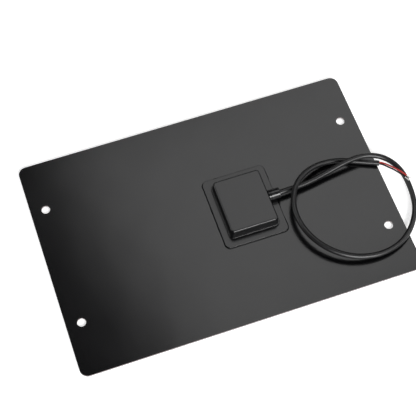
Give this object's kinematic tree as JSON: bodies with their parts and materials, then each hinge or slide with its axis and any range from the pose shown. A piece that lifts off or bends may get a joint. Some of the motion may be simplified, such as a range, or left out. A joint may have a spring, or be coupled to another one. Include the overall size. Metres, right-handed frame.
{
  "type": "photovoltaic laminate panel",
  "caption": "Thin flat rectangular photovoltaic laminate, shown rear side up, with corner bolt holes, a low flanged junction box and a looped two-core lead with bare ends.",
  "frame": {"origin": "centre of the sun side, which lies on the ground at z = 0", "axes": "+X along the long edge towards the side where the lead leaves, +Y along the short edge, +Z out of the rear, where the junction box stands"},
  "size_m": [0.3637, 0.23, 0.0182],
  "materials": {
    "front_film": "clear fluoropolymer film with a fine embossed texture",
    "encapsulant": "clear cured EVA",
    "silicon": "dark blue-black monocrystalline silicon with an anti-reflection coat",
    "tinned_copper": "tinned copper, bright satin",
    "glass_fibre_board": "pale glass-fibre and epoxy laminate, seen at its cut edges",
    "rear_coating": "satin black coating with a fine woven relief",
    "silicone": "black silicone sealant",
    "box_plastic": "fine-grained moulded PPO, charcoal black",
    "seal_rubber": "soft black rubber",
    "gland_plastic": "smooth moulded nylon, black",
    "terminal_metal": "tin-plated brass strip",
    "screw_steel": "zinc-plated steel",
    "diode_epoxy": "black moulded epoxy",
    "cable_jacket": "satin black PVC jacket",
    "red_insulation": "red PVC core insulation",
    "black_insulation": "black PVC core insulation"
  },
  "bodies": {
    "root": {"front_sheet": "front_film", "front_encapsulant": "encapsulant", "rear_encapsulant": "encapsulant", "solar_cells": "silicon", "cell_ribbons": "tinned_copper", "bus_ribbons": "tinned_copper", "output_ribbons": "tinned_copper", "backing_board": "glass_fibre_board", "rear_film": "rear_coating", "flange_sealant": "silicone", "box_base": "box_plastic", "lid_seal": "seal_rubber", "gland_seal": "seal_rubber", "terminal_plus": "terminal_metal", "terminal_minus": "terminal_metal", "terminal_screws": "screw_steel", "diode_body": "diode_epoxy", "diode_wires": "tinned_copper", "cable_clamp": "box_plastic", "clamp_screws": "screw_steel", "inner_core_red": "red_insulation", "inner_core_black": "black_insulation", "inner_core_ends": "tinned_copper", "cable": "cable_jacket", "core_red": "red_insulation", "core_black": "black_insulation", "tip_red": "tinned_copper", "tip_black": "tinned_copper"},
    "lid": {"box_lid": "box_plastic"},
    "gland_carrier": {"thrust_ring": "gland_plastic"},
    "gland_nut": {"gland_nut": "gland_plastic"}
  },
  "joints": [
    {"name": "lid_lift", "type": "slide", "parent": "root", "child": "lid", "axis": [0, 0, 1], "range_m": [0, 0.025]},
    {"name": "nut_travel", "type": "slide", "parent": "root", "child": "gland_carrier", "axis": [1, 0, 0], "range_m": [0, 0.002]},
    {"name": "nut_turn", "type": "hinge", "parent": "gland_carrier", "child": "gland_nut", "pos_m": [0.0605, 0.002, 0.01], "axis": [1, 0, 0], "range_deg": [0, 720]}
  ],
  "couplings": [
    {"joint": "nut_turn", "follows": "nut_travel", "rad_per_m": 6283.2}
  ]
}
